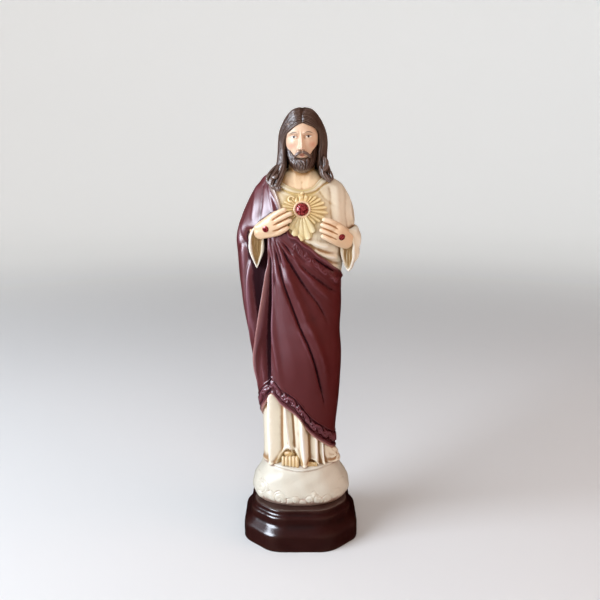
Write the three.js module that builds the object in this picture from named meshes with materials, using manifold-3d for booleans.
// A painted cast statuette on a stepped plinth, built in millimetres, +Z up, facing -Y.
// The origin is the middle of the plinth's underside.
import * as THREE from "three";
import { mergeVertices } from "three/addons/utils/BufferGeometryUtils.js";
import Module from "manifold-3d";

const wasm = await Module();
wasm.setup();

// Driving dimensions, in millimetres.
const FIGURE_HEIGHT = 273; // from the plinth's top to the crown of the head
const PLINTH_LANDING = 1.2; // flat top that shows beside the cloud
const PLINTH_CORNER_CUT = 20; // leg of the cut corner at the floor
const PLINTH_FOOT_HEIGHT = 11.4; // the upright band at the floor
const PLINTH_SLOPE_HEIGHT = 5.2; // the sloped moulding above it
const PLINTH_SLOPE_RUN = 4.8; // how far that moulding steps in
const PLINTH_RISER_HEIGHT = 5.8; // the second upright band
const PLINTH_FILLET_HEIGHT = 1.4; // the narrow sloped step above that
const PLINTH_FILLET_RUN = 2.3;
const PLINTH_CAP_HEIGHT = 3.2; // the top band
const HEART_STONE_DIAMETER = 8.6;
const HEART_STONE_HEIGHT = 3;
const HAND_STONE_DIAMETER = 4.4;
const HAND_STONE_HEIGHT = 1.9;
const STONE_FACETS = 8;
const STONE_CLEARANCE = 0.3; // gap between a stone and the seat that it is glued into
const STONE_SEAT_DEPTH = 1.2; // how deep a stone sits in the cast

const PLINTH_HEIGHT =
  PLINTH_FOOT_HEIGHT +
  PLINTH_SLOPE_HEIGHT +
  PLINTH_RISER_HEIGHT +
  PLINTH_FILLET_HEIGHT +
  PLINTH_CAP_HEIGHT;

// The figure's carving is given as on a statue whose crown is at 300 mm and whose cloud stands
// at 27 mm, and its scale follows FIGURE_HEIGHT.
const CARVED_CROWN = 300;
const CARVED_FOOT = 27;
const SCALE = FIGURE_HEIGHT / (CARVED_CROWN - CARVED_FOOT);
const CLOUD_FOOT_HALF = 32.2; // half-width of the cloud where it meets the plinth, as carved

// Small mathematics.
const RADIAN = Math.PI / 180;
const clamp = (t, low = 0, high = 1) => Math.min(high, Math.max(low, t));
const smooth = (low, high, t) => {
  const share = clamp((t - low) / (high - low));
  return share * share * (3 - 2 * share);
};
const bell = (distance, width) => Math.exp(-((distance / width) ** 2));

// A smooth curve through [place, value] pairs in rising order, flat beyond both ends.
function through(pairs) {
  const slope = pairs.map((pair, i) => {
    const before = pairs[Math.max(0, i - 1)];
    const after = pairs[Math.min(pairs.length - 1, i + 1)];
    return (after[1] - before[1]) / (after[0] - before[0]);
  });
  return (place) => {
    if (place <= pairs[0][0]) return pairs[0][1];
    let i = 1;
    while (i < pairs.length && pairs[i][0] < place) i++;
    if (i === pairs.length) return pairs[i - 1][1];
    const [x0, y0] = pairs[i - 1];
    const [x1, y1] = pairs[i];
    const t = (place - x0) / (x1 - x0);
    const bend = (1 - t) * slope[i - 1] * (x1 - x0) - t * slope[i] * (x1 - x0);
    return y0 + (y1 - y0) * t + t * (1 - t) * (bend + (2 * t - 1) * (y1 - y0));
  };
}

// A curve round the figure through [degrees, height] pairs; 0 is the front, 90 the viewer's right.
function around(pairs) {
  const lap = (turn) => pairs.map(([deg, value]) => [deg + turn, value]);
  const curve = through([...lap(-360), ...pairs, ...lap(360)]);
  return (angle) => curve(Math.atan2(Math.sin(angle), Math.cos(angle)) / RADIAN);
}

// Solids and geometries.
function solidOf(positions, indices) {
  const flat = new THREE.BufferGeometry();
  flat.setAttribute("position", new THREE.Float32BufferAttribute(positions, 3));
  flat.setIndex(indices);
  return toSolid(flat);
}

function toSolid(geometry) {
  const bare = geometry.clone();
  bare.deleteAttribute("normal");
  bare.deleteAttribute("uv");
  const merged = mergeVertices(bare, 1e-4);
  const make = (triVerts) =>
    new wasm.Manifold(
      new wasm.Mesh({
        numProp: 3,
        vertProperties: Float32Array.from(merged.attributes.position.array),
        triVerts: Uint32Array.from(triVerts),
      }),
    );
  const made = make(merged.index.array);
  return made.volume() >= 0 ? made : make(Array.from(merged.index.array).reverse());
}

function toGeometry(solid) {
  const mesh = solid.getMesh();
  const geometry = new THREE.BufferGeometry();
  const positions = new Float32Array(mesh.numVert * 3);
  for (let i = 0; i < mesh.numVert; i++)
    positions.set(mesh.vertProperties.subarray(i * mesh.numProp, i * mesh.numProp + 3), i * 3);
  geometry.setAttribute("position", new THREE.BufferAttribute(positions, 3));
  geometry.setIndex(new THREE.BufferAttribute(mesh.triVerts, 1));
  geometry.computeVertexNormals();
  return geometry;
}

const joined = (solids) => solids.reduce((whole, piece) => whole.add(piece));

// One cast without closed hollows: the outer shell of a joined solid.
const outerShell = (solid) =>
  solid.decompose().reduce((best, shell) => (shell.volume() > best.volume() ? shell : best));

// A closed skin: at(u, v) is a point, u goes round once and v from the first row to the last,
// and each end is closed by a fan to its own middle.
function skin(columns, rows, at) {
  const positions = [];
  const indices = [];
  for (let j = 0; j <= rows; j++)
    for (let i = 0; i < columns; i++) positions.push(...at(i / columns, j / rows));
  const vertex = (i, j) => j * columns + (i % columns);
  for (let j = 0; j < rows; j++)
    for (let i = 0; i < columns; i++) {
      indices.push(vertex(i, j), vertex(i + 1, j), vertex(i + 1, j + 1));
      indices.push(vertex(i, j), vertex(i + 1, j + 1), vertex(i, j + 1));
    }
  for (const row of [0, rows]) {
    const middle = [0, 0, 0];
    for (let i = 0; i < columns; i++)
      for (const k of [0, 1, 2]) middle[k] += positions[vertex(i, row) * 3 + k] / columns;
    const hub = positions.length / 3;
    positions.push(...middle);
    for (let i = 0; i < columns; i++)
      if (row) indices.push(vertex(i, row), vertex(i + 1, row), hub);
      else indices.push(vertex(i + 1, row), vertex(i, row), hub);
  }
  return solidOf(positions, indices);
}

// A tapering limb along a curve: radii are its half-widths at even steps, flat is how thick it
// is towards `face` as a share of its width, and blunt is how full its ends are.
function limb(points, radii, sides, steps, flat = 1, face = [0, 1, 0], blunt = 0.16) {
  const curve = new THREE.CatmullRomCurve3(points.map((p) => new THREE.Vector3(...p)));
  const radius = through(radii.map((r, i) => [i / (radii.length - 1), r]));
  const facing = new THREE.Vector3(...face);
  return skin(sides, steps, (u, v) => {
    const centre = curve.getPoint(v);
    const along = curve.getTangent(v);
    const across = new THREE.Vector3().crossVectors(along, facing).normalize();
    const out = new THREE.Vector3().crossVectors(across, along);
    const round = Math.sqrt(clamp(Math.min(v, 1 - v) * steps, blunt)) * radius(v);
    const angle = u * 2 * Math.PI;
    return centre
      .addScaledVector(across, Math.cos(angle) * round)
      .addScaledVector(out, Math.sin(angle) * round * flat)
      .toArray();
  });
}

// The robes are worked out round the upright axis. Each section gives, at a height, the
// half-widths to the viewer's left and right and the depths to the front and back.
const SQUARENESS = 2.3;
function sections(table) {
  const [left, right, front, back] = [1, 2, 3, 4].map((k) =>
    through(table.map((row) => [row[0], row[k]])),
  );
  return (angle, z) => {
    const side = Math.sin(angle) < 0 ? left(z) : right(z);
    const depth = Math.cos(angle) > 0 ? front(z) : back(z);
    const reach =
      Math.abs(Math.sin(angle) / side) ** SQUARENESS +
      Math.abs(Math.cos(angle) / depth) ** SQUARENESS;
    return reach ** (-1 / SQUARENESS);
  };
}

const mantleEnvelope = sections([
  [60, 27, 24.8, 23, 22],
  [79, 27.3, 25, 23.2, 22],
  [97, 29.2, 26.8, 24, 22.4],
  [115, 31.9, 28, 25, 23],
  [133, 33.8, 28.6, 25.6, 23.6],
  [150, 37, 27.4, 25.6, 24.2],
  [168, 40.2, 28.2, 25.6, 24.8],
  [185, 42.2, 28, 26, 25.4],
  [201, 43.4, 30, 26.6, 25.8],
  [212, 44.6, 33, 26.8, 25.8],
  [222, 42.8, 35, 26.4, 25.4],
  [230, 39, 35.5, 25.2, 24.6],
  [238, 35.4, 33.6, 23, 23],
  [246, 31.2, 29.6, 18.4, 19.4],
  [251, 27.4, 25, 14.6, 16],
  [254.5, 24.4, 20, 12, 13.4],
  [257.5, 18, 15, 10.4, 11.6],
  [261, 9.5, 9.5, 9, 9.5],
]);

const tunicEnvelope = sections([
  [46, 27.6, 29, 21.6, 21],
  [54, 27, 28.2, 21.8, 21],
  [62, 26.6, 24.4, 21.6, 20],
  [79, 26.8, 23.4, 21.4, 20],
  [97, 27, 24.6, 22, 20.4],
  [133, 31, 26.4, 23.4, 21.4],
  [168, 37, 26, 23.4, 22.6],
  [201, 41, 29.5, 25, 23.6],
  [212, 42, 33, 25.6, 23.6],
  [222, 40.6, 36.4, 25.2, 23.4],
  [230, 37, 36.3, 24, 22.8],
  [238, 33.4, 34.2, 21.8, 21.4],
  [246, 29.4, 30.2, 17.4, 17.8],
  [251, 25, 26, 13.6, 14.6],
  [256, 15.4, 15.4, 10.4, 11],
  [260, 8.6, 8.6, 8.4, 8.8],
  [266, 8, 8, 8, 8],
]);

// The angle at which an envelope's front shows at x, for a carving line read from the front.
function facingAngle(envelope, x, z) {
  let low = -88 * RADIAN;
  let high = 88 * RADIAN;
  for (let i = 0; i < 24; i++) {
    const middle = (low + high) / 2;
    if (envelope(middle, z) * Math.sin(middle) < x) low = middle;
    else high = middle;
  }
  return (low + high) / 2;
}

// Carving: each stroke is a ridge (rise above 0) or a valley along a line on the robes, with its
// half-width at the start and the end. Front lines hold [x, height] and back lines
// [degrees, height] points.
const WRAP_RADIUS = 27; // turns an angle round the robes into a length
const STROKE_STEPS = 20;
function stroke(points, rise, startWidth, endWidth, behind = false) {
  const line = points.map(([place, z]) => {
    const angle = behind ? place * RADIAN : facingAngle(mantleEnvelope, place, z);
    return new THREE.Vector3(angle * WRAP_RADIUS, z, 0);
  });
  const dots = new THREE.CatmullRomCurve3(line).getPoints(STROKE_STEPS);
  return (angle, z) => {
    let best = Infinity;
    let share = 0;
    for (let i = 1; i < dots.length; i++) {
      const [a, b] = [dots[i - 1], dots[i]];
      const [dx, dz] = [b.x - a.x, b.y - a.y];
      const turn = Math.round((angle * WRAP_RADIUS - a.x) / (2 * Math.PI * WRAP_RADIUS));
      const s = angle * WRAP_RADIUS - turn * 2 * Math.PI * WRAP_RADIUS;
      const t = clamp(((s - a.x) * dx + (z - a.y) * dz) / (dx * dx + dz * dz));
      const gap = Math.hypot(s - a.x - dx * t, z - a.y - dz * t);
      if (gap < best) [best, share] = [gap, (i - 1 + t) / STROKE_STEPS];
    }
    const width = startWidth + (endWidth - startWidth) * share;
    const fade = smooth(0, 0.12, share) * smooth(1, 0.8, share) * 0.75 + 0.25;
    return rise * fade * bell(best, width);
  };
}

const carved = (strokes) => (angle, z) =>
  strokes.reduce((sum, strokeAt) => sum + strokeAt(angle, z), 0);

const mantleFolds = carved([
  // the hollow between the hanging side and the front, and the thin free edge in it
  stroke([[-30, 214], [-30.2, 190], [-30.2, 172], [-30.4, 155], [-30.4, 140], [-29, 120]], -8.6, 5.6, 3),
  stroke([[-23.8, 198], [-24.6, 178], [-26, 162], [-28, 140], [-27, 112]], 3.6, 2.2, 2.2),
  stroke([[-21.4, 198], [-22.2, 174], [-22.8, 152], [-22.6, 130], [-20.4, 108]], -4.5, 2.2, 2.6),
  // the front panel's left roll
  stroke([[-18.5, 212], [-19.4, 190], [-20, 172], [-19, 150], [-15, 126], [-11, 103]], 3, 3, 3.4),
  // folds that spread from the hand
  stroke([[-17, 214], [-11.4, 202], [-7.4, 187.5], [-2.4, 173], [3.4, 157], [9, 141.5], [19, 104]], 2.6, 2.4, 3.4),
  stroke([[-18, 208], [-14.8, 199], [-11.6, 187], [-7, 172], [-1.6, 156], [4.4, 141], [15.6, 104]], -3.6, 2.2, 3),
  stroke([[-12, 207], [-6, 196], [3.5, 181], [10.7, 171], [19, 154]], -3, 2.2, 3.2),
  stroke([[-8, 208], [-1, 195.6], [8.4, 183], [15, 175.6], [24, 164]], 2, 2.2, 3.4),
  stroke([[-1, 197], [6, 191], [14.2, 185.6], [20.5, 180.6], [26, 177]], -3.2, 2, 2.8),
  stroke([[4, 200], [12, 195.4], [20, 189.4], [26.4, 184]], 1.8, 2.4, 2.6),
  stroke([[10, 180], [17, 172.6], [26, 164]], -2.2, 2, 3),
  // the knee
  stroke([[6, 146], [9, 126], [10, 112]], 1.8, 9, 7),
  // grooves of the hanging side and the drape over the upper arm
  stroke([[-39.5, 210], [-39.8, 194], [-39, 176]], -1.8, 1.5, 1),
  stroke([[-42, 205], [-39, 213], [-34.5, 220]], -2.2, 1.6, 1.4),
  stroke([[-30, 243], [-31, 234], [-30, 226]], 1.5, 1.8, 1.6),
  stroke([[-24, 245], [-23, 236], [-22, 230]], -1.2, 1.5, 1.5),
  stroke([[-40, 223], [-31, 223.5]], 1.2, 1.6, 1.6),
  // the back: folds fall from the shoulder, and pull round from the hip
  stroke([[238, 246], [226, 214], [206, 170], [176, 126], [150, 84]], 2.4, 3.4, 4.4, true),
  stroke([[226, 244], [212, 214], [188, 172], [158, 128], [130, 88]], -2.6, 3, 4, true),
  stroke([[216, 240], [198, 210], [168, 172], [138, 136], [114, 104]], 2.2, 3, 4, true),
  stroke([[200, 226], [176, 200], [146, 172], [116, 148]], -2.2, 2.6, 3.4, true),
  stroke([[180, 214], [154, 194], [122, 176], [98, 164]], 1.8, 2.4, 3, true),
  stroke([[250, 238], [246, 200], [238, 160], [228, 120], [220, 84]], -2.6, 3.2, 3.6, true),
  stroke([[258, 230], [258, 190], [252, 150], [246, 110], [240, 82]], 2.2, 3.2, 3.4, true),
  stroke([[212, 150], [204, 110], [196, 70]], -2.4, 2.4, 4, true),
  stroke([[190, 120], [184, 90], [178, 66]], 2, 2.6, 4, true),
  stroke([[170, 110], [162, 84], [156, 64]], -2, 2.4, 3.6, true),
]);

const tunicFolds = carved([
  stroke([[-25.6, 104], [-26, 60]], 1.2, 1.4, 1.4),
  stroke([[-20, 112], [-20.2, 80], [-20.6, 50]], 3.4, 2.4, 2.6),
  stroke([[-15.4, 106], [-15.8, 80], [-16, 58]], -3, 2.2, 2.4),
  stroke([[-12.2, 104], [-10.6, 84], [-7, 68]], 1.8, 1.7, 1.5),
  stroke([[-6, 98], [-4.6, 80], [-4.4, 70]], -2.4, 2.4, 2),
  stroke([[-1.4, 98], [-0.6, 78], [1, 52]], 3.6, 2.4, 2.4),
  stroke([[6.6, 88], [6.8, 70], [6.4, 50]], -2.8, 2, 2),
  stroke([[11.6, 82], [11.8, 66], [11.6, 50]], 1.8, 1.8, 1.8),
  stroke([[14.4, 78], [14.6, 64], [14.2, 50]], -2, 1.1, 1.1),
  stroke([[16.6, 76], [16.8, 62], [16.8, 50]], 1.8, 1.1, 1.2),
  stroke([[19, 74], [19.4, 60], [19.2, 50]], -1.8, 1, 1.1),
  ...[110, 134, 158, 184, 208, 232].flatMap((degrees) => [
    stroke([[degrees, 84], [degrees + 3, 48]], 2.2, 2.4, 2.8, true),
    stroke([[degrees + 12, 84], [degrees + 14, 48]], -2.4, 2.2, 2.6, true),
  ]),
  // chest and shoulder
  stroke([[24, 246], [26, 236], [27, 224]], 1.2, 1.8, 1.8),
  stroke([[29.5, 240], [31, 230], [31, 220]], -1.2, 1.6, 1.6),
  stroke([[8, 210], [16, 205.5], [22, 205]], 1.6, 2, 2),
  stroke([[10, 205], [18, 201.5], [25, 199]], -2, 2, 2.2),
]);

// The mantle's two edges, as heights round the figure.
const mantleTop = around([
  [-150, 241], [-120, 253], [-90, 257], [-70, 254], [-53, 248.3], [-36, 239.5], [-28.6, 232.6],
  [-21, 224], [-15.4, 217.8], [-5.3, 215.9], [3, 212.1], [13, 208.9], [24.3, 204], [39.3, 198.9],
  [51, 194.8], [70, 190.9], [90, 188], [120, 190], [150, 202], [180, 222],
]);
const mantleHem = around([
  [-135, 72], [-100, 84], [-76, 92], [-58, 100], [-45, 107.3], [-31, 100.6], [-7, 92.6],
  [15, 80.4], [40, 71.6], [62, 65.6], [90, 61.5], [135, 60], [180, 63],
]);

// The collar, where the cloth ends on the bare neck.
const neckline = around([
  [-90, 257], [-50, 249.2], [-25, 245], [0, 243], [25, 244.6], [50, 250.4], [90, 257], [180, 262],
]);
const COLLAR_STEP = 1.7;

const MANTLE_DEPTH = 9; // its inner face is well inside the tunic
const HEM_ROLL = 0.9;
function mantleRadius(angle, z) {
  const roll =
    bell(mantleTop(angle) - z - 1.4, 1.6) + 0.6 * bell(z - mantleHem(angle) - 1.2, 1.4);
  const near = smooth(262, 246, z); // carving dies out towards the neck
  return mantleEnvelope(angle, z) + (mantleFolds(angle, z) + HEM_ROLL * roll) * near;
}

function tunicRadius(angle, z) {
  const above = z - neckline(angle);
  const collar = 0.7 * bell(above + 1.4, 1.5) - COLLAR_STEP * smooth(-0.1, 0.9, above);
  const own = tunicEnvelope(angle, z) + tunicFolds(angle, z) * smooth(262, 250, z) + collar;
  const inside = Math.min(mantleTop(angle) - z, z - mantleHem(angle));
  if (inside < 2) return own;
  return Math.min(own, mantleRadius(angle, z) - 2 - 2.5 * smooth(2, 14, inside));
}

const ring = (angle, radius, z) => [radius * Math.sin(angle), -radius * Math.cos(angle), z];

// More columns to the front, where the carving is finest.
const ROBE_BIAS = 0.5;
const HEAD_BIAS = 0.72;
function spread(u, bias) {
  const turn = (u - 0.5) * 2 * Math.PI;
  return turn - bias * Math.sin(turn);
}

function makeTunic() {
  // Heights of the rows for a collar at 250; near the collar the rows follow its dip.
  const rowHeights = [
    46, 53, 60, 67, 74, 82, 90, 98, 106, 130, 160, 188, 197, 204, 211, 218, 225, 232, 238, 243.4,
    247.4, 250, 251, 256, 262,
  ];
  const last = rowHeights.length - 1;
  return skin(40, last, (u, v) => {
    const level = rowHeights[Math.round(v * last)];
    const angle = spread(u, ROBE_BIAS);
    const dip = (neckline(angle) - 250) * smooth(225, 250, level) * smooth(266, 251, level);
    const z = level + dip;
    return ring(angle, tunicRadius(angle, z), z);
  });
}

// The mantle's columns lean so that they run along its main folds: past the hollow at the side,
// and down across the front.
const HOLLOW_LINE = -30; // x of the hollow beside the hanging side
const HOLLOW_COLUMN = -61 * RADIAN;
const FRONT_LEAN = 22 * RADIAN; // over 50 mm of height either side of 160
function leaning(base, z) {
  const toHollow = facingAngle(mantleEnvelope, HOLLOW_LINE, z) - HOLLOW_COLUMN;
  const across = (-FRONT_LEAN * (z - 160)) / 50;
  return (
    base +
    toHollow * bell(base - HOLLOW_COLUMN, 24 * RADIAN) * smooth(95, 125, z) +
    across * bell(base - 4 * RADIAN, 30 * RADIAN) * smooth(225, 205, z) * smooth(80, 110, z)
  );
}

// The mantle is a band round the figure: an outer face from its top edge down to its hem, and
// an inner face back up.
function makeMantle() {
  const columns = 48;
  const outerRows = 22;
  const innerRows = 1;
  const rows = outerRows + innerRows + 2;
  const positions = [];
  const indices = [];
  for (let j = 0; j < rows; j++)
    for (let i = 0; i < columns; i++) {
      const base = spread(i / columns, ROBE_BIAS);
      const outer = j <= outerRows;
      const share = outer ? j / outerRows : (rows - 1 - j) / innerRows;
      const height = (angle) => mantleTop(angle) + (mantleHem(angle) - mantleTop(angle)) * share;
      const angle = leaning(base, height(base));
      const z = height(angle);
      const depth = outer ? 0 : Math.min(MANTLE_DEPTH, mantleRadius(angle, z) * 0.5);
      positions.push(...ring(angle, mantleRadius(angle, z) - depth, z));
    }
  const vertex = (i, j) => (j % rows) * columns + (i % columns);
  for (let j = 0; j < rows; j++)
    for (let i = 0; i < columns; i++) {
      indices.push(vertex(i, j), vertex(i + 1, j), vertex(i + 1, j + 1));
      indices.push(vertex(i, j), vertex(i + 1, j + 1), vertex(i, j + 1));
    }
  return solidOf(positions, indices);
}

// The head, in its own frame: x to the viewer's right, y to the back, z up from the chin, and
// sizes as shares of the head's height from chin to crown.
const HEAD_HEIGHT = 36.5;
const HEAD_PLACE = [1.2, -2.5, 261.5];
const HEAD_TILT = 3 * RADIAN; // the crown leans to the viewer's left
const BROW_LINE = 0.55;
const EYE_LINE = 0.5;
const NOSE_BASE = 0.275;
const MOUTH_LINE = 0.185;
const FACE_HALF_WIDTH = 0.333;
const EYE_OFFSET = FACE_HALF_WIDTH * 0.4; // five eye widths across the face
const NOSE_HALF_WIDTH = FACE_HALF_WIDTH * 0.2;

function onHead([x, y, z]) {
  const [side, up] = [x * HEAD_HEIGHT, z * HEAD_HEIGHT];
  return [
    HEAD_PLACE[0] + side * Math.cos(HEAD_TILT) - up * Math.sin(HEAD_TILT),
    HEAD_PLACE[1] + y * HEAD_HEIGHT,
    HEAD_PLACE[2] + side * Math.sin(HEAD_TILT) + up * Math.cos(HEAD_TILT),
  ];
}

const faceWidth = through([
  [-0.03, 0.1], [0.03, 0.17], [0.12, 0.225], [0.25, 0.275], [0.4, 0.315], [0.55, 0.333],
  [0.75, 0.325], [0.9, 0.24], [0.97, 0.14],
]);
const faceFront = through([
  [-0.03, 0.27], [0.03, 0.345], [0.12, 0.365], [0.25, 0.378], [0.4, 0.388], [0.55, 0.4],
  [0.7, 0.395], [0.82, 0.34], [0.92, 0.22], [0.97, 0.12],
]);

// How far the face's front stands forward of its plain egg, by place across and up.
function features(x, z) {
  const aside = Math.abs(x);
  const bridge = smooth(BROW_LINE + 0.02, NOSE_BASE, z);
  const nose =
    (0.03 + 0.08 * bridge) *
    bell(x, 0.03 + (NOSE_HALF_WIDTH - 0.018) * bridge) *
    smooth(NOSE_BASE - 0.035, NOSE_BASE + 0.015, z) *
    smooth(BROW_LINE + 0.08, BROW_LINE - 0.02, z);
  const brow = 0.022 * bell(z - BROW_LINE - 0.025, 0.035) * bell(aside - EYE_OFFSET, 0.11);
  const socket = -0.07 * bell(z - EYE_LINE, 0.05) * bell(aside - EYE_OFFSET, 0.085);
  const eye = 0.05 * bell(z - EYE_LINE + 0.004, 0.028) * bell(aside - EYE_OFFSET, 0.05);
  const cheek = 0.012 * bell(z - 0.34, 0.08) * bell(aside - 0.16, 0.07);
  const lip = 0.03 * bell(z - MOUTH_LINE + 0.028, 0.022) * bell(x, 0.06);
  const moustache =
    0.032 * bell(z - MOUTH_LINE - 0.04 + aside * 0.35, 0.026) * smooth(0.18, 0.1, aside);
  const mouth = -0.02 * bell(z - MOUTH_LINE, 0.014) * bell(x, 0.08);
  return nose + brow + socket + eye + cheek + lip + moustache + mouth;
}

function makeFace() {
  const rows = through([[0, -0.03], [0.18, 0.12], [0.76, 0.6], [1, 0.97]]);
  return skin(22, 17, (u, v) => {
    const z = rows(v);
    const angle = spread(u, HEAD_BIAS);
    const x = Math.sin(angle) * faceWidth(z);
    const forward = Math.cos(angle);
    const y = forward > 0 ? -forward * faceFront(z) : -forward * 0.3;
    const ahead = forward > 0 ? features(x, z) * smooth(0.1, 0.5, forward) : 0;
    return onHead([x, y - ahead, z]);
  });
}

// The beard wraps the jaw and ends in a short rounded point below the chin.
function makeBeard() {
  const width = through([
    [-0.12, 0.1], [-0.08, 0.165], [0, 0.225], [0.12, 0.268], [0.24, 0.29], [0.4, 0.32],
  ]);
  const front = through([
    [-0.12, 0.35], [-0.08, 0.4], [0, 0.43], [0.08, 0.42], [0.14, 0.395], [0.24, 0.37],
  ]);
  const top = (angle) => 0.11 + 0.29 * smooth(0.25, 1.2, Math.abs(angle));
  return skin(18, 5, (u, v) => {
    const angle = spread(u, HEAD_BIAS);
    const z = -0.12 + (top(angle) + 0.12) * v;
    const ripple = 1 + 0.018 * Math.cos(angle * 14) * Math.sin(v * Math.PI);
    const x = Math.sin(angle) * width(z) * ripple;
    const forward = Math.cos(angle);
    const y = forward > 0 ? -forward * front(z) * ripple : -forward * 0.1;
    return onHead([x, y, z]);
  });
}

// The hair: a cap parted in the middle that opens round the face, and falls behind.
const HAIR_OPENING = 0.86; // height share of the parting's foot
const hairHalfWidth = through([
  [237, 9], [243, 14], [250, 17], [257, 17.4], [262.5, 16.6], [270, 15.6], [278, 16], [284, 15.6],
  [289.9, 13.8], [293.8, 11.7], [296.6, 9.4], [298.8, 6], [300, 2],
]);
const hairFront = through([
  [237, 4], [262, 6], [274, 11.5], [284, 14.6], [290, 13.9], [294, 11.6], [297, 8.6], [300, 2],
]);
const hairBack = through([
  [237, 20.6], [242, 23], [248, 22], [256, 18.6], [266, 17.4], [278, 18.2], [286, 17.6], [292, 15],
  [296, 11], [300, 2],
]);
function makeHair() {
  const rows = through([[0, 237], [0.5, 270], [0.82, 294], [1, 300]]);
  return skin(28, 12, (u, v) => {
    const z = rows(v);
    const angle = (u - 0.5) * 2 * Math.PI;
    const share = (z - HEAD_PLACE[2]) / HEAD_HEIGHT;
    const aside = Math.abs(Math.sin(angle));
    const edge = 0.2 + 0.62 * Math.sqrt(clamp((HAIR_OPENING - share) / 0.3));
    const open = Math.cos(angle) > 0 && share < HAIR_OPENING ? smooth(edge, edge - 0.14, aside) : 0;
    const wave = Math.sin(angle * 9 + Math.sin(z * 0.16) * 1.4);
    const lock = 1 + 0.03 * wave * smooth(300, 288, z) * smooth(0.3, -0.2, Math.cos(angle));
    const parting = 0.9 * bell(Math.sin(angle) * hairHalfWidth(z), 1.5) * smooth(282, 290, z);
    const reach = (1 - 0.5 * open) * lock;
    const depth = Math.cos(angle) > 0 ? hairFront(z) : hairBack(z);
    return [
      HEAD_PLACE[0] + Math.sin(angle) * hairHalfWidth(z) * reach,
      -1 - Math.cos(angle) * depth * reach,
      z - parting,
    ];
  });
}

// Long locks that frame the face from the parting to the shoulders: a line and half-widths.
const LOCKS = [
  [
    [[1, -11.4, 296.2], [-6.4, -13.6, 292], [-10.6, -12.4, 283], [-11.4, -11.6, 271],
      [-12.2, -12, 260], [-14.4, -14.4, 251], [-15.2, -16.6, 243]],
    [2.4, 3, 3.1, 3.3, 3.6, 3.4, 1.6],
  ],
  [
    [[-7, -8, 292.6], [-11.2, -6.6, 283], [-12, -6.6, 270], [-13.6, -8, 259.6], [-18.4, -11, 250]],
    [2.6, 2.9, 3.3, 3.8, 1.6],
  ],
  [
    [[1.4, -11.4, 296.2], [8.8, -13.6, 292], [12.8, -12.4, 283], [13.2, -11.6, 271],
      [13.4, -11.4, 261], [16.2, -12, 254], [21.4, -12, 249.4]],
    [2.4, 3, 3.1, 3.3, 3.6, 3.2, 1.4],
  ],
  [
    [[9.4, -8, 292.6], [13.2, -6.6, 283], [13.4, -6.6, 270], [14.4, -7.4, 260.5], [20.6, -8.6, 252.4]],
    [2.6, 2.9, 3.3, 3.6, 1.6],
  ],
];

function makeHead() {
  const neck = skin(12, 2, (u, v) => {
    const angle = u * 2 * Math.PI;
    const wide = 9.4 - 1.2 * v;
    return [1 + Math.sin(angle) * wide, -1 - v * 2 - Math.cos(angle) * wide, 244 + v * 24];
  });
  const parts = [neck, makeFace(), makeBeard(), makeHair()];
  return joined([...parts, ...LOCKS.map(([points, radii]) => limb(points, radii, 5, 6, 0.9))]);
}

// Hands: a palm that widens from the wrist to the knuckles, four fingers and a thumb.
const RIGHT_HAND = {
  palm: [[-31, -18.6, 216.8], [-25.5, -22.4, 219.6], [-18.5, -25.6, 223.6], [-12.8, -26.8, 227]],
  fingers: [
    [[-15.6, -27.4, 231.6], [-9, -29.2, 233.2], [-2.8, -28.6, 231.8]],
    [[-14.6, -28, 228.2], [-8, -29.8, 230], [-3, -29.2, 228.4]],
    [[-14, -28, 224.8], [-8.4, -29.6, 226.2], [-4.6, -29, 224.8]],
    [[-14.4, -27.4, 221.6], [-10.4, -28.8, 222.2], [-7.2, -28, 221]],
  ],
  thumb: [[-21, -24.6, 228.6], [-14, -27.2, 234.8], [-8, -27.4, 237.4]],
};
const LEFT_HAND = {
  palm: [[34.6, -17.6, 210.6], [30, -21.8, 213.4], [24.6, -25.6, 217.6], [19.6, -27.2, 221.8]],
  fingers: [
    [[23, -27.4, 226], [18, -29.4, 229.6], [13.8, -29, 231]],
    [[21.2, -28, 223], [15.6, -29.8, 226.2], [11.4, -29.2, 227.4]],
    [[20, -28, 219.8], [15.2, -29.8, 222.4], [11.2, -29.2, 223]],
    [[19.6, -27.2, 216.6], [15.8, -28.8, 218.2], [12.6, -28.2, 218.2]],
  ],
  thumb: [[28, -24.4, 222.6], [24.4, -26.8, 229.4], [19.4, -27.6, 233.4]],
};
const FINGER_RADII = [2.1, 2.1, 1.7];
const PALM_RADII = [4.6, 5.4, 6.2, 6.6];
const PALM_FLATNESS = 0.5;
function makeHand({ palm, fingers, thumb }) {
  const back = limb(palm, PALM_RADII, 10, 4, PALM_FLATNESS, [0, 1, 0], 0.7);
  const digits = [...fingers, thumb].map((points) =>
    limb(points, FINGER_RADII, 6, 3, 1, [0, 1, 0], 0.45),
  );
  return joined([back, ...digits]);
}

// The point and the outward direction in the middle of the back of a hand, at a share of the
// way from its wrist to its knuckles.
function backOfHand({ palm }, share) {
  const curve = new THREE.CatmullRomCurve3(palm.map((p) => new THREE.Vector3(...p)));
  const along = curve.getTangent(share);
  const across = new THREE.Vector3().crossVectors(along, new THREE.Vector3(0, 1, 0)).normalize();
  const facing = new THREE.Vector3().crossVectors(along, across).normalize();
  if (facing.y > 0) facing.negate();
  const radius = through(PALM_RADII.map((r, i) => [i / (PALM_RADII.length - 1), r]))(share);
  const place = curve.getPoint(share).addScaledVector(facing, radius * PALM_FLATNESS);
  return { place: place.toArray(), facing: facing.toArray() };
}

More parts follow.
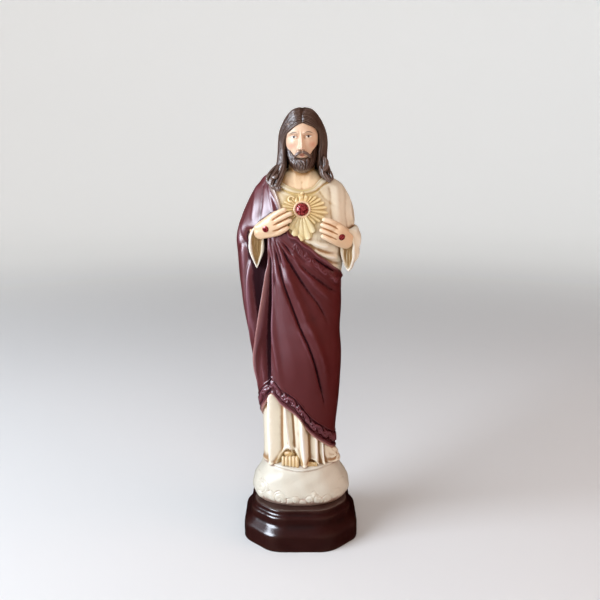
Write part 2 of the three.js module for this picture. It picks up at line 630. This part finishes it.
// Sleeves: a loft of ovals from the elbow to a cuff whose lower corner hangs in a point.
// Each oval has a middle, half of its long axis and half of its short axis.
const RIGHT_SLEEVE = [
  [[-27, 6, 214], [0, 0, 8], [5, 3, 0]],
  [[-36, 0, 211], [-1, -1, 11], [4.8, 6, 0]],
  [[-35.6, -8, 211.2], [-1, -2, 13], [4.6, 6.2, 0]],
  [[-32.4, -15.6, 211], [-0.4, -2, 14.6], [4.8, 5.4, 0]],
  [[-29.8, -19.6, 210.6], [-0.4, -1.6, 15.2], [6, 2.6, 0]],
  [[-30.6, -16.4, 212], [-0.3, -1.2, 11.6], [4, 1.8, 0]],
];
const LEFT_SLEEVE = [
  [[25, 6, 214], [0.5, 0, 9], [-5, 3, 0]],
  [[34, 0, 210.4], [2, -1, 13], [-4.8, 6, 0]],
  [[35.6, -7.6, 208.4], [2.4, -2.4, 15], [-4.8, 6.2, 0]],
  [[33.8, -13.6, 206.8], [2, -3, 15.6], [-5.8, 4.6, 0]],
  [[32, -17.6, 205.8], [1.6, -3.4, 15.6], [-6.4, 3, 0]],
  [[32.6, -14.6, 207.4], [1.2, -2.6, 11.6], [-4.4, 2, 0]],
];
const CUFF_POINT = 0.84; // how sharply the lower end narrows at the cuff
function makeSleeve(ovals) {
  const track = (part) =>
    [0, 1, 2].map((k) => through(ovals.map((oval, i) => [i / (ovals.length - 1), oval[part][k]])));
  const [middle, long, short] = [0, 1, 2].map(track);
  return skin(12, ovals.length - 1, (u, v) => {
    const angle = u * 2 * Math.PI;
    const narrow = 1 - CUFF_POINT * clamp(-Math.cos(angle)) * smooth(0.2, 0.8, v);
    return [0, 1, 2].map(
      (k) =>
        middle[k](v) + Math.cos(angle) * long[k](v) + Math.sin(angle) * short[k](v) * narrow,
    );
  });
}

// The radiant emblem on the chest: bars that fan out from the heart stone, a crown of flame
// above it, and a scalloped fan below.
const EMBLEM = [0.8, 233.6]; // x and height of its centre
const RAYS = [
  // degrees from straight up towards the viewer's right, length, half-width
  [-112, 10.5, 1.1], [-88, 11.5, 1.1], [-64, 11, 1.1], [-40, 11, 1], [-16, 9.5, 1.3],
  [10, 11, 1.6], [34, 10, 1], [62, 14, 1.1], [78, 17, 1.1], [94, 17, 1.1], [110, 15.5, 1.1],
  [128, 13.5, 1.1], [148, 17.5, 1.5], [163, 19.5, 1.7], [178, 20.5, 1.8], [194, 19.5, 1.7],
];
const RAY_START = 3;
const RAY_RISE = 1.4;
function chestPoint(x, z, out) {
  const angle = facingAngle(tunicEnvelope, x, z);
  return ring(angle, tunicRadius(angle, z) + out, z);
}
function makeRay([degrees, length, half]) {
  const angle = degrees * RADIAN;
  const [dx, dz] = [Math.sin(angle), Math.cos(angle)];
  const spot = (along, across, out) =>
    chestPoint(EMBLEM[0] + dx * along + dz * across, EMBLEM[1] + dz * along - dx * across, out);
  const positions = [RAY_START, length].flatMap((along) => [
    ...spot(along, -half, -1.5),
    ...spot(along, half, -1.5),
    ...spot(along, 0, RAY_RISE),
  ]);
  const indices = [0, 2, 1, 3, 4, 5, 0, 1, 4, 0, 4, 3, 1, 2, 5, 1, 5, 4, 2, 0, 3, 2, 3, 5];
  return solidOf(positions, indices);
}

// The cloud that the figure stands on, with puffs in low relief along its foot.
const MOUND_BASE = CARVED_FOOT;
const moundHalf = through([
  [27, CLOUD_FOOT_HALF], [29.5, 35], [33, 35.8], [37.5, 35], [42, 33.2], [47, 30], [50, 27.5],
  [53, 22], [55, 12],
]);
const MOUND_OVAL = 0.8; // depth as a share of width
const PUFFS = [
  // degrees round from the front, height, half-width, rise
  [-52, 36, 5.5, 2], [-37, 33, 4, 1.6], [-22, 32, 4.4, 1.5], [-8, 34, 3.6, 1.2], [8, 32, 5, 1.8],
  [24, 35, 4, 1.3], [40, 33, 5, 1.7], [58, 36, 4.4, 1.2], [-80, 33, 5.5, 0.8], [-70, 43, 4, 1.2],
  [84, 33, 5.4, 0.7], [112, 34, 5.6, 1.6], [138, 32, 5.2, 1.6], [165, 35, 6, 1.8],
  [190, 32, 5.2, 1.6], [216, 34, 5.6, 1.6], [244, 32, 5, 1.5],
];
function makeMound() {
  const rows = through([[0, MOUND_BASE], [0.5, 37], [0.85, 49], [1, 54]]);
  return skin(36, 6, (u, v) => {
    const z = rows(v);
    const angle = (u - 0.5) * 2 * Math.PI;
    const half = moundHalf(z);
    const radius =
      ((Math.abs(Math.sin(angle)) / half) ** 2.2 +
        (Math.abs(Math.cos(angle)) / (half * MOUND_OVAL)) ** 2.2) **
      (-1 / 2.2);
    const rise = PUFFS.reduce((sum, [degrees, height, width, out]) => {
      const gap = angle - degrees * RADIAN;
      const aside = Math.atan2(Math.sin(gap), Math.cos(gap)) * 31;
      return sum + 1.4 * out * bell(Math.hypot(aside, z - height), width);
    }, 0);
    return ring(angle, radius + (rise - 0.8) * smooth(MOUND_BASE, MOUND_BASE + 3, z), z);
  });
}

// Two feet that show their toes under the hem.
const FEET = [
  [[[-7.4, -15, 56], [-6, -22, 58], [-3.4, -27.4, 54]], [4.6, 4.8, 3.4]],
  [[[15, -12, 55], [16.4, -18, 56.4], [18, -22.6, 53.6]], [4, 4, 2.8]],
];

function makeFigure() {
  const solids = [
    makeMound(),
    makeTunic(),
    makeMantle(),
    makeHead(),
    makeSleeve(RIGHT_SLEEVE),
    makeSleeve(LEFT_SLEEVE),
    makeHand(RIGHT_HAND),
    makeHand(LEFT_HAND),
    ...RAYS.map(makeRay),
    ...FEET.map(([points, radii]) => limb(points, radii, 8, 5, 0.7, [0, 0, 1])),
  ];
  return joined(solids);
}

// The plinth: an eight-sided block of straight bands and sloped mouldings.
function makePlinth() {
  const steps = [
    [0, 0],
    [PLINTH_FOOT_HEIGHT, 0],
    [PLINTH_SLOPE_HEIGHT, PLINTH_SLOPE_RUN],
    [PLINTH_RISER_HEIGHT, 0],
    [PLINTH_FILLET_HEIGHT, PLINTH_FILLET_RUN],
    [PLINTH_CAP_HEIGHT, 0],
  ];
  let height = 0;
  let inset = 0;
  const levels = steps.map(([rise, run]) => [(height += rise), (inset += run)]);
  const flat = CLOUD_FOOT_HALF * SCALE + PLINTH_LANDING + inset;
  return skin(8, levels.length - 1, (u, v) => {
    const [z, inward] = levels[Math.round(v * (levels.length - 1))];
    const half = flat - inward;
    const cut = PLINTH_CORNER_CUT - inward * (2 - Math.SQRT2);
    const corners = [
      [-(half - cut), -half], [half - cut, -half], [half, -(half - cut)], [half, half - cut],
      [half - cut, half], [-(half - cut), half], [-half, half - cut], [-half, -(half - cut)],
    ];
    return [...corners[Math.round(u * 8)], z];
  });
}

// A round faceted stone, its girdle at height 0, its back down and its flat table up.
const STONE_TABLE_SHARE = 0.5; // of the diameter
const GIRDLE_HALF = 0.2;
function stoneProfile(diameter, height) {
  const half = diameter / 2;
  const table = height - STONE_SEAT_DEPTH;
  return [
    [0, -STONE_SEAT_DEPTH], [half * 0.8, -STONE_SEAT_DEPTH], [half, -GIRDLE_HALF],
    [half, GIRDLE_HALF], [half * 0.84, table * 0.66], [half * STONE_TABLE_SHARE, table],
    [0, table],
  ].map(([x, y]) => new THREE.Vector2(x, y));
}

// The hole that a stone's seat takes out of the cast, which reaches clear of the carving.
const SEAT_REACH = 6;
const seatProfile = (diameter) =>
  [
    [0, -STONE_SEAT_DEPTH - STONE_CLEARANCE],
    [diameter / 2 + STONE_CLEARANCE, -STONE_SEAT_DEPTH - STONE_CLEARANCE],
    [diameter / 2 + STONE_CLEARANCE, SEAT_REACH],
    [0, SEAT_REACH],
  ].map(([x, y]) => new THREE.Vector2(x, y));

// Where each stone sits: the middle of its girdle and the way that it faces.
const HEART_STONE_RISE = 0.6; // how far its girdle stands out of the chest
const HEART_STONE_FACING = [0.03, -0.97, 0.24];
const RIGHT_STONE_SHARE = 0.52; // of the way from wrist to knuckles
const LEFT_STONE_SHARE = 0.62;
const STONES = [
  {
    name: "heart_stone",
    diameter: HEART_STONE_DIAMETER,
    height: HEART_STONE_HEIGHT,
    place: chestPoint(...EMBLEM, HEART_STONE_RISE),
    facing: HEART_STONE_FACING,
  },
  {
    name: "right_hand_stone",
    diameter: HAND_STONE_DIAMETER,
    height: HAND_STONE_HEIGHT,
    ...backOfHand(RIGHT_HAND, RIGHT_STONE_SHARE),
  },
  {
    name: "left_hand_stone",
    diameter: HAND_STONE_DIAMETER,
    height: HAND_STONE_HEIGHT,
    ...backOfHand(LEFT_HAND, LEFT_STONE_SHARE),
  },
];
function turned(profile, { place, facing }) {
  const lathe = new THREE.LatheGeometry(profile, STONE_FACETS);
  const aim = new THREE.Vector3(...facing).normalize();
  lathe.applyQuaternion(new THREE.Quaternion().setFromUnitVectors(new THREE.Vector3(0, 1, 0), aim));
  const [x, y, z] = onStatue(place);
  lathe.translate(x, y, z);
  return toSolid(lathe);
}

// From the carving's own measures to the statue's.
function onStatue([x, y, z]) {
  return [x * SCALE, y * SCALE, PLINTH_HEIGHT + (z - CARVED_FOOT) * SCALE];
}

const part = new THREE.Group();
part.name = "sacred_heart_statue";
function addNode(name, solid, color, roughness) {
  const mesh = new THREE.Mesh(
    toGeometry(solid),
    new THREE.MeshStandardMaterial({ color, roughness, metalness: 0 }),
  );
  mesh.name = name;
  part.add(mesh);
}

let figure = outerShell(makeFigure())
  .translate([0, 0, -CARVED_FOOT])
  .scale([SCALE, SCALE, SCALE])
  .translate([0, 0, PLINTH_HEIGHT]);
for (const stone of STONES) figure = figure.subtract(turned(seatProfile(stone.diameter), stone));

addNode("plinth", makePlinth(), 0x2f1b1a, 0.35);
addNode("figure", figure, 0xe6d7be, 0.4);
for (const stone of STONES)
  addNode(stone.name, turned(stoneProfile(stone.diameter, stone.height), stone), 0x7a1a1c, 0.12);

export default part;
